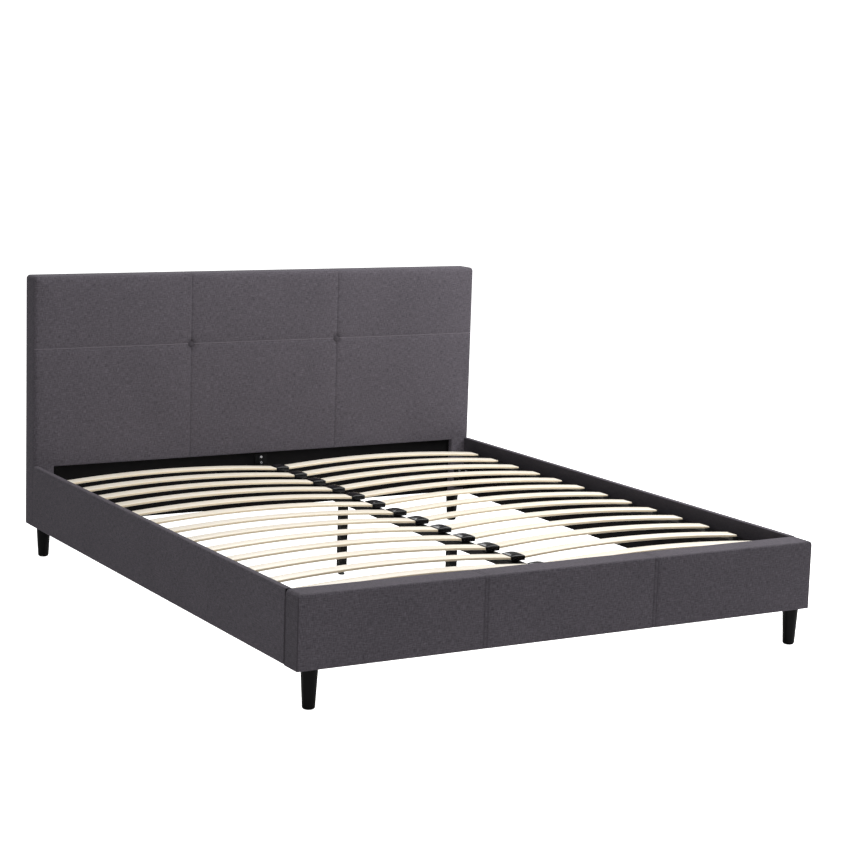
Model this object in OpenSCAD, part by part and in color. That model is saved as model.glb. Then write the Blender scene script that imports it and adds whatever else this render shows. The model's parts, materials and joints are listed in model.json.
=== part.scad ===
// Upholstered bed frame: padded headboard, wrapped footboard and side rails,
// sprung slats on a centre rail, turned legs. Millimetres, +Z up, headboard at +Y,
// origin on the floor under the middle of the bed.

/* [Mattress] */
// Width of the mattress the bed is made for
mattress_w = 1830; // [900:10:2200]
// Length of the mattress
mattress_l = 2030; // [1600:10:2500]
// Play beside the mattress, on each side
side_gap = 3; // [0:1:15]
// Play at each end of the mattress
end_gap = 10; // [0:1:30]

/* [Frame] */
// Height of the legs, floor to underside of the frame
leg_h = 120; // [80:5:200]
// Height of the side rails and the footboard
rail_h = 226; // [200:1:300]
// Thickness of a wrapped side rail
rail_t = 22; // [16:1:40]
// Seam gap between a side rail and the board it butts against
rail_end_gap = 1.5; // [0.5:0.5:5]
// Thickness of the footboard
foot_t = 86; // [70:1:120]
// Thickness of the headboard
head_t = 86; // [70:1:120]
// Height of the headboard above the floor
head_h = 1045; // [700:5:1500]
// How far each side of the headboard stands in from the rails
head_inset = 4; // [0:1:20]

/* [Upholstery] */
// Thickness of the cover fabric on headboard and footboard
fabric_t = 1.5; // [1:0.5:3]
// Thickness of the fabric and wadding on the side rails
rail_fabric_t = 2; // [1:0.5:4]
// Thickness of the headboard's front foam
head_foam_t = 20; // [10:1:35]
// Thickness of the footboard's foam
foot_foam_t = 8; // [4:1:15]
// Radius of the corners seen from the front
corner_r = 14; // [4:1:20]
// Easing of the padded front edges
edge_ease = 8; // [3:1:10]
// Width of the wrapped strip at each side of the headboard's dark window
strip_w = 78; // [60:1:100]
// Step from the rail's top down to the top of the dark window
window_drop = 5; // [0:1:40]
// Diameter of a covered button
button_d = 28; // [16:1:40]
// Drop of the buttons below the headboard's top
button_drop = 269; // [150:1:400]

/* [Boards] */
// Thickness of the plywood boards
board_t = 12; // [9:1:15]
// Width of the timber battens
batten_w = 60; // [40:1:70]
// Thickness of the headboard's black cross rail
cross_t = 18; // [15:1:30]
// Height of the battens in the footboard
foot_batten = 40; // [30:1:50]
// Glue line between timbers
glue_gap = 0.2; // [0.1:0.1:0.5]

/* [Slats] */
// Rows of slats
slat_rows = 13; // [8:1:18]
// Width of a slat
slat_w = 53; // [38:1:90]
// Thickness of a slat
slat_t = 8; // [6:0.5:12]
// Upward bow of a slat
slat_bow = 20; // [5:1:40]
// First row's middle to the headboard
head_clear = 145; // [80:1:250]
// Last row's middle to the footboard
foot_clear = 105; // [80:1:250]
// Slat end to the inner face of the side rail
slat_end_gap = 37; // [20:1:45]
// Slat seat below the top of the side rail
seat_drop = 46; // [40:1:90]

/* [Slat holders] */
// Length of a double cap along the slats
cap_l = 52; // [40:1:80]
// Rise of a cap's rounded top above its shoulders
cap_crown = 5; // [2:0.5:8]
// Wall of a cap or shoe
cap_wall = 2.6; // [1.5:0.1:4]
// Web between the two sockets of a double cap
cap_web = 7; // [4:1:12]
// Play round a slat in its cap or shoe
cap_play = 0.4; // [0.2:0.1:1]
// Diameter of the plug under a cap
cap_plug_d = 10; // [6:1:14]
// Pedestal that lifts a cap off the centre rail
cap_foot_h = 6; // [2:1:30]
// Length of slat that lies in a side shoe
shoe_l = 20; // [12:1:25]
// Height of the side shoe under the slat
shoe_h = 10; // [6:1:20]

/* [Steel] */
// Ledger's shelf past the shoes
ledger_lip = 1; // [0:0.5:10]
// Height of the ledger's upright flange
ledger_h = 40; // [25:1:60]
// Thickness of the ledger
ledger_t = 2.5; // [2:0.5:5]
// Thickness of brackets and plates
plate_t = 3; // [2:0.5:5]
// Leg length of a corner bracket
bracket_l = 45; // [35:1:60]
// Height of a corner bracket
bracket_h = 96; // [70:1:120]
// Corner bracket above the underside of the frame
bracket_up = 20; // [10:1:40]
// Width of the centre rail
center_w = 40; // [30:1:60]
// Height of the centre rail
center_h = 25; // [20:1:50]
// Wall of the steel tubes
tube_wall = 1.5; // [1:0.5:3]
// Side of the square centre legs
center_leg_w = 28; // [24:1:40]
// Distance between the two centre legs
center_leg_span = 760; // [400:10:1100]
// Middle of the two centre legs, from the middle of the bed
center_leg_mid = -15; // [-200:5:200]

/* [Legs] */
// Diameter of a leg at the top
leg_top_d = 52; // [40:1:56]
// Diameter of a leg at the floor
leg_foot_d = 39; // [25:1:50]
// Rounding of a leg's lower edge
leg_edge_r = 8; // [2:1:10]
// Leg's axis in from the side of the bed
leg_in_x = 53; // [40:1:58]
// Front leg's axis behind the face of the footboard's front board
leg_in_foot = 20.5; // [20:0.5:30]
// Rear leg's axis behind the face of the headboard's timber
leg_in_head = 8.5; // [8:0.5:20]

/* [Hardware] */
// Diameter of the frame bolts
bolt_d = 6; // [5:1:8]
// Length under the head of the bolts that go up into the centre rail
bolt_up = 14; // [10:1:20]
// How far a long bolt goes into timber
bolt_bite = 20; // [15:1:35]
// Timber left in front of a short bolt's tip
bolt_skin = 3; // [2:0.5:5]
// Diameter of a leg's stud
stud_d = 8; // [6:1:10]
// Diameter of a ledger screw
screw_d = 4.5; // [3.5:0.5:6]
// Ledger screws along each rail
screw_count = 7; // [4:1:12]

/* [Hidden] */
$fn = 48;

// Overall plan
inner_w = mattress_w + 2 * side_gap;
inner_l = mattress_l + 2 * end_gap;
outer_w = inner_w + 2 * rail_t;
outer_l = inner_l + head_t + foot_t;
head_w = outer_w - 2 * head_inset;
y_back = outer_l / 2;
y_head = y_back - head_t;
y_front = -outer_l / 2;
y_foot = y_front + foot_t;
rail_top = leg_h + rail_h;
rail_y0 = y_foot + rail_end_gap;
rail_y1 = y_head - rail_end_gap;
fit = 0.1;

// Headboard layers, front to back
window_z = rail_top - window_drop;
window_x = head_w / 2 - strip_w;
head_core_x = head_w / 2 - fabric_t;
head_core_z0 = leg_h + fabric_t;
head_core_z1 = head_h - fabric_t;
head_core_r = corner_r - fabric_t;
foam_y0 = y_head + fabric_t;
foam_y1 = foam_y0 + head_foam_t;
cloth_t = 1;
cloth_in = 1;
batten_y1 = y_back - cloth_in - cloth_t;
button_x = head_w / 6;
button_z = head_h - button_drop;
button_pocket = 8;
button_cap_h = 4;
tie_r = 2;
toggle_r = 10;
toggle_t = 2;

// Footboard layers
foot_core_x = outer_w / 2 - fabric_t - foot_foam_t;
foot_core_z1 = rail_top - fabric_t - foot_foam_t;
foot_front_y = y_front + fabric_t + foot_foam_t;
foot_back_y = y_foot - fabric_t;
foot_gap_y0 = foot_front_y + board_t + glue_gap;
foot_gap_y1 = foot_back_y - board_t - glue_gap;
foot_core_r = max(head_core_r - foot_foam_t, 1);

// Side rails; the fabric turns down to the slats' ledger
turn_z = rail_top - seat_drop - shoe_h;
board_x0 = inner_w / 2 + rail_fabric_t;
board_x1 = outer_w / 2 - rail_fabric_t;
board_z0 = leg_h + rail_fabric_t;
board_z1 = rail_top - rail_fabric_t;
rail_edge_r = 5;

// Slats and their holders
seat_z = rail_top - seat_drop;
slat_x0 = cap_web / 2 + 0.5;
slat_x1 = inner_w / 2 - slat_end_gap;
slat_pitch = (inner_l - head_clear - foot_clear) / (slat_rows - 1);
slat_half = (slat_x1 - slat_x0) / 2;
slat_mid = (slat_x1 + slat_x0) / 2;
slat_r = (slat_half * slat_half + slat_bow * slat_bow) / (2 * slat_bow);
mouth_rise = slat_bow * (1 - pow((slat_mid - cap_l / 2) / slat_half, 2));
socket_y = slat_w / 2 + cap_play;
socket_z0 = seat_z - 0.3;
socket_z1 = seat_z + slat_t + mouth_rise + 0.3;
cap_z0 = socket_z0 - cap_wall;
cap_plug_h = 8;
shoe_lip = 3;
shoe_z0 = seat_z - shoe_h;
shoe_plug_r = 4;
shoe_plug_x = slat_x1 - shoe_l / 2;

// Centre rail and legs
center_z1 = cap_z0 - cap_foot_h;
center_z0 = center_z1 - center_h;
hang_head_y = y_head + fabric_t + head_foam_t;
hang_foot_y = foot_back_y;
center_y0 = hang_foot_y + plate_t + 1;
center_y1 = hang_head_y - plate_t - 1;
hanger_w = 50;
hanger_seat = 40;
hang_bolt_z = center_z1 + bolt_d + 1;
hang_bolt_step = 23;
hanger_top = hang_bolt_z + hang_bolt_step + 10;
leg_bolt_y = center_leg_w / 2 + 10;
leg_plate_l = 2 * (leg_bolt_y + bolt_d + 6);
plug_flange = 3;
plug_z0 = 21;
plug_h = 22;
glide_r = 12;
glide_hex_z = 15;
glide_stem_h = 60;
glide_stem_r = 4;

// Corner brackets, legs and fasteners
bracket_z0 = leg_h + bracket_up;
bracket_bolt_in = 25;
bolt_head_r = bolt_d;
bolt_head_h = 4;
bolt_long = plate_t + fabric_t + head_foam_t + bolt_bite;
bolt_rail = plate_t + board_x1 - board_x0 - bolt_skin;
bolt_hang = plate_t + cross_t - bolt_skin;
post_bolt_x = board_x0 - bracket_l / 2;
rail_bolt_y = 30;
leg_x = outer_w / 2 - leg_in_x;
leg_y_foot = foot_front_y + leg_in_foot;
leg_y_head = foam_y1 + leg_in_head;
insert_r = 6;
insert_h = 20;
stud_in_leg = 25;
stud_in_frame = 18;
ledger_x0 = slat_x1 - shoe_l - ledger_lip;
ledger_y = inner_l / 2 - bracket_l - 5;
ledger_z1 = shoe_z0;
screw_l = 15;
screw_head_r = screw_d;
screw_head_h = 2.5;
screw_z = ledger_z1 - ledger_h + 18;

FABRIC = [0.31, 0.29, 0.31];
FOAM = [0.86, 0.84, 0.76];
PINE = [0.83, 0.68, 0.46];
PLY = [0.75, 0.6, 0.42];
DARK = [0.05, 0.05, 0.055];
STEEL = [0.1, 0.1, 0.11];
ZINC = [0.75, 0.76, 0.78];
BIRCH = [0.92, 0.87, 0.76];
PLASTIC = [0.04, 0.04, 0.045];

function row_name(k) = str(k < 9 ? "0" : "", k + 1);
function row_y(k) = y_head - head_clear - k * slat_pitch;

// ---------- shared shapes ----------

// A box from its lowest to its highest corner
module block(low, high) {
    translate(low) cube(high - low);
}

// Rectangle with round corners
module round_rect(x0, x1, z0, z1, r) {
    translate([x0 + r, z0]) square([x1 - x0 - 2 * r, z1 - z0]);
    translate([x0, z0 + r]) square([x1 - x0, z1 - z0 - 2 * r]);
    for (x = [x0 + r, x1 - r], z = [z0 + r, z1 - r]) {
        translate([x, z]) circle(r);
    }
}

// Extrude an x-z outline along y
module along_y(y0, y1) {
    translate([0, y1, 0]) rotate([90, 0, 0]) linear_extrude(y1 - y0) children();
}

// Extrude a y-z outline along x
module along_x(x0, x1) {
    translate([x0, 0, 0]) rotate([90, 0, 90]) linear_extrude(x1 - x0) children();
}

// One corner of an outline: cut off by e from side a to side b, or kept sharp where e is 0
function eased(x, y, a, b, e) = e > 0 ? [[x, y] + e * a, [x, y] + e * b] : [[x, y]];

// Upholstered board: round corners from the front, eased edges at y0 (e0) and y1 (e1)
module padded_board(half_w, y0, y1, z0, z1, r, e0, e1) {
    intersection() {
        along_y(y0, y1) round_rect(-half_w, half_w, z0, z1, r);
        translate([0, 0, z0]) linear_extrude(z1 - z0) polygon(concat(
            eased(-half_w, y0, [0, 1], [1, 0], e0), eased(half_w, y0, [-1, 0], [0, 1], e0),
            eased(half_w, y1, [0, -1], [-1, 0], e1), eased(-half_w, y1, [1, 0], [0, -1], e1)));
        along_x(-half_w, half_w) polygon(concat(
            [[y0, z0], [y1, z0]],
            eased(y1, z1, [0, -1], [-1, 0], e1), eased(y0, z1, [1, 0], [0, -1], e0)));
    }
}

// Rod along an axis, from a point
module rod_x(p, len, r) {
    translate(p) rotate([0, 90, 0]) cylinder(h = len, r = r);
}
module rod_y(p, len, r) {
    translate(p) rotate([-90, 0, 0]) cylinder(h = len, r = r);
}

// Children at the left and, mirrored, at the right
module both_sides() {
    children();
    mirror([1, 0, 0]) children();
}

// Heights of the two bolts in each flange of a corner bracket
bracket_bolt_z = [bracket_z0 + bracket_bolt_in, bracket_z0 + bracket_h - bracket_bolt_in];

// Holes of the long bolts that hold the corner brackets to headboard and footboard
module post_holes(r) {
    both_sides() for (z = bracket_bolt_z) {
        rod_y([post_bolt_x, y_head - plate_t - 1, z], bolt_long + 2, r);
        rod_y([post_bolt_x, y_foot + plate_t + 1 - bolt_long - 2, z], bolt_long + 2, r);
    }
}

// Holes of the short bolts that hold the hangers of the centre rail
module hanger_holes(r) {
    for (z = [hang_bolt_z, hang_bolt_z + hang_bolt_step]) {
        rod_y([0, hang_head_y - plate_t - 1, z], bolt_hang + 2, r);
        rod_y([0, hang_foot_y + plate_t + 1 - bolt_hang - 2, z], bolt_hang + 2, r);
    }
}

// Holes upwards into the frame above each leg
module leg_holes(r, depth) {
    both_sides() for (y = [leg_y_foot, leg_y_head]) {
        translate([leg_x, y, leg_h - 1]) cylinder(h = depth + 1, r = r);
    }
}

// Room that each button, its tie and its toggle take
module button_room(pocket_r, hole_r) {
    both_sides() translate([button_x, 0, button_z]) {
        rod_y([0, y_head - 1, 0], button_pocket + 1, pocket_r);
        rod_y([0, y_head, 0], head_t, hole_r);
    }
}

// ---------- headboard ----------

module headboard_panel() {
    color(PLY) difference() {
        intersection() {
            block([-window_x + glue_gap, foam_y1, window_z + glue_gap],
                  [window_x - glue_gap, foam_y1 + board_t, head_core_z1]);
            head_core();
        }
        button_room(tie_r, tie_r + fit);
    }
}

// Outline that all timber and foam of the headboard keeps to
module head_core() {
    along_y(y_head, y_back) round_rect(-head_core_x, head_core_x, head_core_z0, head_core_z1, head_core_r);
}

module headboard_battens() {
    back_y0 = foam_y1 + board_t + glue_gap;
    batten_x = window_x - glue_gap;
    color(PINE) difference() {
        intersection() {
            union() {
                both_sides() block([window_x, foam_y1, head_core_z0], [head_core_x, batten_y1, head_core_z1]);
                for (z = [window_z + glue_gap, head_core_z1 - batten_w]) {
                    block([-batten_x, back_y0, z], [batten_x, batten_y1, z + batten_w]);
                }
            }
            head_core();
        }
        post_holes(bolt_d / 2 + fit);
        leg_holes(insert_r + fit, fabric_t + insert_h + fit);
    }
}

module headboard_cross_rail() {
    color(DARK) difference() {
        block([-window_x + glue_gap, foam_y1, head_core_z0], [window_x - glue_gap, foam_y1 + cross_t, window_z]);
        hanger_holes(bolt_d / 2 + fit);
    }
}

module headboard_foam() {
    color(FOAM) difference() {
        padded_board(head_core_x, foam_y0, foam_y1, head_core_z0, head_core_z1, head_core_r,
                     edge_ease - fabric_t / 2, 0);
        block([-window_x, foam_y0 - 1, head_core_z0 - 1], [window_x, foam_y1 + 1, window_z]);
        button_room(button_d / 2 + 2, tie_r + fit);
        post_holes(bolt_d / 2 + fit);
    }
}

module headboard_cover() {
    color(FABRIC) difference() {
        padded_board(head_w / 2, y_head, y_back, leg_h, head_h, corner_r, edge_ease, 0);
        padded_board(head_core_x, foam_y0, y_back + 1, head_core_z0, head_core_z1, head_core_r,
                     edge_ease - fabric_t / 2, 0);
        block([-window_x, y_head - 1, leg_h - 1], [window_x, foam_y1, window_z]);
        button_room(button_d / 2 + 2, tie_r + fit);
        post_holes(bolt_d / 2 + fit);
        leg_holes(insert_r + fit, fabric_t + 1);
    }
}

module headboard_back_cloth() {
    color(DARK) intersection() {
        block([-head_w, batten_y1, 0], [head_w, batten_y1 + cloth_t, head_h]);
        head_core();
    }
}

module headboard_buttons() {
    disc_y = y_head + button_pocket - button_cap_h - 1;
    tie_end = foam_y1 + board_t;
    color(FABRIC) both_sides() translate([button_x, 0, button_z]) {
        rod_y([0, disc_y, 0], button_cap_h, button_d / 2);
        rod_y([0, disc_y + 1, 0], tie_end - disc_y, tie_r);
        rod_y([0, tie_end, 0], toggle_t, toggle_r);
    }
}

// ---------- footboard ----------

module footboard_frame() {
    z0 = head_core_z0;
    z1 = foot_core_z1;
    block_z0 = z0 + foot_batten + glue_gap;
    block_z1 = z1 - foot_batten - glue_gap;
    color(PLY) difference() {
        intersection() {
            union() {
                block([-foot_core_x, foot_front_y, z0], [foot_core_x, foot_front_y + board_t, z1]);
                block([-foot_core_x, foot_back_y - board_t, z0], [foot_core_x, foot_back_y, z1]);
                for (z = [z0, z1 - foot_batten]) {
                    block([-foot_core_x, foot_gap_y0, z], [foot_core_x, foot_gap_y1, z + foot_batten]);
                }
                both_sides() block([foot_core_x - batten_w, foot_gap_y0, block_z0],
                                   [foot_core_x, foot_gap_y1, block_z1]);
                block([-batten_w / 2, foot_gap_y0, block_z0], [batten_w / 2, foot_gap_y1, block_z1]);
            }
            along_y(y_front, y_foot) round_rect(-foot_core_x, foot_core_x, z0, z1, foot_core_r);
        }
        post_holes(bolt_d / 2 + fit);
        hanger_holes(bolt_d / 2 + fit);
        leg_holes(insert_r + fit, fabric_t + insert_h + fit);
    }
}

module footboard_foam() {
    color(FOAM) difference() {
        padded_board(outer_w / 2 - fabric_t, y_front + fabric_t, foot_back_y, head_core_z0, rail_top - fabric_t,
                     head_core_r, edge_ease - fabric_t / 2, edge_ease - fabric_t / 2);
        block([-foot_core_x, foot_front_y, 0], [foot_core_x, y_foot, foot_core_z1]);
    }
}

module footboard_cover() {
    half_w = outer_w / 2;
    color(FABRIC) difference() {
        padded_board(half_w, y_front, y_foot, leg_h, rail_top, corner_r, edge_ease, edge_ease);
        padded_board(half_w - fabric_t, y_front + fabric_t, foot_back_y, head_core_z0, rail_top - fabric_t,
                     head_core_r, edge_ease - fabric_t / 2, edge_ease - fabric_t / 2);
        block([-window_x, foot_back_y, leg_h - 1], [window_x, y_foot + 1, turn_z]);
        block([-hanger_w / 2 - 2, foot_back_y, turn_z - 1], [hanger_w / 2 + 2, y_foot + 1, hanger_top + 2]);
        post_holes(bolt_d / 2 + fit);
        leg_holes(insert_r + fit, fabric_t + 1);
    }
}

// ---------- side rails ----------

module side_board() {
    difference() {
        block([board_x0, rail_y0, board_z0], [board_x1, rail_y1, board_z1]);
        for (y = [y_foot + rail_bolt_y, y_head - rail_bolt_y], z = bracket_bolt_z) {
            rod_x([board_x0 - 1, y, z], bolt_rail - plate_t + 1 + fit, bolt_d / 2 + fit);
        }
        for (k = [0 : screw_count - 1]) {
            rod_x([board_x0 - 1, screw_y(k), screw_z], screw_l - ledger_t + 1 + fit, screw_d / 2 + fit);
        }
    }
}

function screw_y(k) = -ledger_y + 60 + k * (2 * ledger_y - 120) / (screw_count - 1);

// Fabric wrapped over the rail and turned down on its inner face
module side_wrap() {
    along_y(rail_y0, rail_y1) difference() {
        round_rect(inner_w / 2, outer_w / 2, leg_h, rail_top, rail_edge_r);
        translate([board_x0, board_z0]) square([board_x1 - board_x0, board_z1 - board_z0]);
        translate([inner_w / 2 - 1, board_z0]) square([rail_fabric_t + 2, turn_z - board_z0]);
    }
}

// Steel angle with a shelf on top; each shoe's plug has a hole in the shelf
module ledger() {
    difference() {
        union() {
            block([ledger_x0, -ledger_y, ledger_z1 - ledger_t], [board_x0, ledger_y, ledger_z1]);
            block([board_x0 - ledger_t, -ledger_y, ledger_z1 - ledger_h], [board_x0, ledger_y, ledger_z1]);
        }
        for (k = [0 : slat_rows - 1]) {
            translate([shoe_plug_x, row_y(k), ledger_z1 - ledger_h]) cylinder(h = ledger_h + 1, r = shoe_plug_r + fit);
        }
        for (k = [0 : screw_count - 1]) {
            rod_x([board_x0 - ledger_t - 1, screw_y(k), screw_z], ledger_t + 2, screw_d / 2 + fit);
        }
    }
}

module side_rail_left() {
    color(DARK) mirror([1, 0, 0]) side_board();
}
module side_rail_right() {
    color(DARK) side_board();
}
module side_cover_left() {
    color(FABRIC) mirror([1, 0, 0]) side_wrap();
}
module side_cover_right() {
    color(FABRIC) side_wrap();
}
module slat_ledger_left() {
    color(STEEL) mirror([1, 0, 0]) ledger();
}
module slat_ledger_right() {
    color(STEEL) ledger();
}

// ---------- corner brackets and bolts ----------

// Angle bracket in one corner; end is 1 at the headboard, -1 at the footboard
module corner_bracket(y, end) {
    difference() {
        union() {
            translate([board_x0 - plate_t, min(y, y - end * bracket_l), bracket_z0])
                cube([plate_t, bracket_l, bracket_h]);
            translate([board_x0 - bracket_l, min(y, y - end * plate_t), bracket_z0])
                cube([bracket_l, plate_t, bracket_h]);
        }
        for (z = bracket_bolt_z) {
            rod_x([board_x0 - plate_t - 1, y - end * rail_bolt_y, z], plate_t + 2, bolt_d / 2 + fit);
        }
        post_holes(bolt_d / 2 + fit);
    }
}

module corner_brackets() {
    color(STEEL) both_sides() {
        corner_bracket(y_head, 1);
        corner_bracket(y_foot, -1);
    }
}

// Button-head bolt along +Z: head below z = 0, shank above, with a hexagon socket
module bolt(len) {
    difference() {
        union() {
            translate([0, 0, -bolt_head_h]) cylinder(h = bolt_head_h, r1 = bolt_head_r - 1, r2 = bolt_head_r);
            cylinder(h = len, r = bolt_d / 2);
        }
        translate([0, 0, -bolt_head_h - 1]) cylinder(h = bolt_head_h - 0.5, r = bolt_d / 3, $fn = 6);
    }
}

module frame_bolts() {
    color(ZINC) {
        both_sides() for (z = bracket_bolt_z) {
            translate([post_bolt_x, y_head - plate_t, z]) rotate([-90, 0, 0]) bolt(bolt_long);
            translate([post_bolt_x, y_foot + plate_t, z]) rotate([90, 0, 0]) bolt(bolt_long);
            for (y = [y_foot + rail_bolt_y, y_head - rail_bolt_y]) {
                translate([board_x0 - plate_t, y, z]) rotate([0, 90, 0]) bolt(bolt_rail);
            }
        }
        for (z = [hang_bolt_z, hang_bolt_z + hang_bolt_step]) {
            translate([0, hang_head_y - plate_t, z]) rotate([-90, 0, 0]) bolt(bolt_hang);
            translate([0, hang_foot_y + plate_t, z]) rotate([90, 0, 0]) bolt(bolt_hang);
        }
        for (y = center_bolts) {
            translate([0, y, center_z0 - plate_t]) bolt(bolt_up);
        }
    }
}

// ---------- legs ----------

// Tapered turned leg with a rounded lower edge and a hole for its stud
module turned_leg() {
    foot_r = leg_foot_d / 2;
    top_r = leg_top_d / 2;
    color(DARK) difference() {
        rotate_extrude() polygon(concat(
            [[0, 0]],
            [for (a = [-90 : 15 : 0])
                [foot_r - leg_edge_r + leg_edge_r * cos(a), leg_edge_r + leg_edge_r * sin(a)]],
            [[top_r, leg_h], [0, leg_h]]));
        translate([0, 0, leg_h - stud_in_leg - fit]) cylinder(h = stud_in_leg + 1, r = stud_d / 2 + fit);
    }
}

module leg_front_left() {
    translate([-leg_x, leg_y_foot, 0]) turned_leg();
}
module leg_front_right() {
    translate([leg_x, leg_y_foot, 0]) turned_leg();
}
module leg_rear_left() {
    translate([-leg_x, leg_y_head, 0]) turned_leg();
}
module leg_rear_right() {
    translate([leg_x, leg_y_head, 0]) turned_leg();
}

// Threaded sleeves in the frame above each leg
module leg_inserts() {
    color(ZINC) both_sides() for (y = [leg_y_foot, leg_y_head]) {
        translate([leg_x, y, head_core_z0]) difference() {
            cylinder(h = insert_h, r = insert_r);
            translate([0, 0, -1]) cylinder(h = insert_h + 2, r = stud_d / 2 + fit);
        }
    }
}

module leg_studs() {
    color(ZINC) both_sides() for (y = [leg_y_foot, leg_y_head]) {
        translate([leg_x, y, leg_h - stud_in_leg])
            cylinder(h = stud_in_leg + fabric_t + stud_in_frame, r = stud_d / 2);
    }
}

// ---------- centre support ----------

center_leg_y = [center_leg_mid + center_leg_span / 2, center_leg_mid - center_leg_span / 2];
center_bolts = concat(
    [hang_head_y - plate_t - 25, hang_foot_y + plate_t + 25],
    [for (y = center_leg_y, d = [-leg_bolt_y, leg_bolt_y]) y + d]);

module center_rail() {
    half = center_w / 2;
    color(STEEL) difference() {
        block([-half, center_y0, center_z0], [half, center_y1, center_z1]);
        block([-half + tube_wall, center_y0 - 1, center_z0 + tube_wall],
              [half - tube_wall, center_y1 + 1, center_z1 - tube_wall]);
        for (k = [0 : slat_rows - 1]) {
            translate([0, row_y(k), center_z1 - 2 * tube_wall]) cylinder(h = 3 * tube_wall, r = cap_plug_d / 2 + fit);
        }
        for (y = center_bolts) {
            translate([0, y, center_z0 - 1]) cylinder(h = tube_wall + 2, r = bolt_d / 2 + fit);
        }
    }
}

// Hanger: upright plate on the board, with a shelf under the rail's end
module hanger(y, end) {
    half = hanger_w / 2;
    shelf_z0 = center_z0 - plate_t;
    difference() {
        union() {
            translate([-half, min(y, y - end * plate_t), shelf_z0]) cube([hanger_w, plate_t, hanger_top - shelf_z0]);
            translate([-center_w / 2, min(y, y - end * hanger_seat), shelf_z0]) cube([center_w, hanger_seat, plate_t]);
        }
        hanger_holes(bolt_d / 2 + fit);
        translate([0, y - end * (plate_t + 25), shelf_z0 - 1]) cylinder(h = plate_t + 2, r = bolt_d / 2 + fit);
    }
}

module center_hangers() {
    color(STEEL) {
        hanger(hang_head_y, 1);
        hanger(hang_foot_y, -1);
    }
}

// Square tube with a plate on top that bolts under the centre rail
module center_leg() {
    half = center_leg_w / 2;
    inner = half - tube_wall;
    tube_z0 = plug_z0 + plug_flange;
    plate_z0 = center_z0 - plate_t;
    color(STEEL) difference() {
        union() {
            block([-half, -half, tube_z0], [half, half, center_z0]);
            block([-half, -leg_plate_l / 2, plate_z0], [half, leg_plate_l / 2, center_z0]);
        }
        block([-inner, -inner, tube_z0 - 1], [inner, inner, plate_z0]);
        for (d = [-leg_bolt_y, leg_bolt_y]) {
            translate([0, d, plate_z0 - 1]) cylinder(h = plate_t + 2, r = bolt_d / 2 + fit);
        }
    }
}

module center_leg_head() {
    translate([0, center_leg_y[0], 0]) center_leg();
}
module center_leg_foot() {
    translate([0, center_leg_y[1], 0]) center_leg();
}

// Threaded end plug in the foot of each centre leg
module center_leg_plugs() {
    half = center_leg_w / 2;
    inner = half - tube_wall - fit;
    color(PLASTIC) for (y = center_leg_y) {
        translate([0, y, 0]) difference() {
            union() {
                block([-half, -half, plug_z0], [half, half, plug_z0 + plug_flange]);
                block([-inner, -inner, plug_z0], [inner, inner, plug_z0 + plug_flange + plug_h]);
            }
            translate([0, 0, plug_z0 - 1]) cylinder(h = plug_h + plug_flange + 2, r = glide_stem_r + 0.05);
        }
    }
}

// Levelling glide: round foot, adjusting hexagon and threaded stem
module glide() {
    color(PLASTIC) {
        cylinder(h = 4, r = glide_r);
        translate([0, 0, 4]) cylinder(h = 5, r1 = glide_r, r2 = 8);
        translate([0, 0, 9]) cylinder(h = glide_hex_z - 9, r = 7.5, $fn = 6);
        cylinder(h = glide_stem_h, r = glide_stem_r);
    }
}

module glide_head() {
    translate([0, center_leg_y[0], 0]) glide();
}
module glide_foot() {
    translate([0, center_leg_y[1], 0]) glide();
}

// ---------- slats and their holders ----------

// Bowed slat to the right of the centre rail, its underside on seat_z at both ends
module slat() {
    color(BIRCH) translate([0, slat_w / 2, 0]) rotate([90, 0, 0]) linear_extrude(slat_w) intersection() {
        translate([slat_mid, seat_z + slat_bow - slat_r]) difference() {
            circle(slat_r + slat_t, $fn = 720);
            circle(slat_r, $fn = 720);
        }
        translate([slat_x0, seat_z - slat_t]) square([slat_x1 - slat_x0, slat_bow + 3 * slat_t]);
    }
}

// Double cap with a socket for each slat of a row, on a pedestal with a plug
module double_cap() {
    half = cap_l / 2;
    wall_y = socket_y + cap_wall;
    shoulder = socket_z1 + cap_wall * 0.6;
    crown = shoulder + cap_crown;
    difference() {
        union() {
            along_y(-wall_y, wall_y) polygon([
                [-half, cap_z0], [half, cap_z0], [half, shoulder],
                [half * 0.6, crown], [-half * 0.6, crown], [-half, shoulder]]);
            block([-half / 2, -half / 2, center_z1], [half / 2, half / 2, cap_z0]);
            translate([0, 0, center_z1 - cap_plug_h]) cylinder(h = cap_plug_h + 1, r = cap_plug_d / 2);
        }
        both_sides() block([cap_web / 2, -socket_y, socket_z0], [half + 1, socket_y, socket_z1]);
    }
}

module center_caps() {
    color(PLASTIC) for (k = [0 : slat_rows - 1]) {
        translate([0, row_y(k), 0]) double_cap();
    }
}

// Shoe on the ledger: a seat with low lips, and a plug through the shelf
module shoe() {
    x0 = slat_x1 - shoe_l;
    x1 = slat_x1 + 0.5 + cap_wall;
    wall_y = socket_y + cap_wall;
    difference() {
        union() {
            block([x0, -wall_y, shoe_z0], [x1, wall_y, seat_z + shoe_lip]);
            translate([shoe_plug_x, 0, shoe_z0 - ledger_t - 5]) cylinder(h = ledger_t + 6, r = shoe_plug_r);
        }
        block([x0 - 1, -socket_y, seat_z], [slat_x1 + 0.5, socket_y, seat_z + shoe_lip + 1]);
    }
}

module side_shoes() {
    color(PLASTIC) both_sides() for (k = [0 : slat_rows - 1]) {
        translate([0, row_y(k), 0]) shoe();
    }
}

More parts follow.
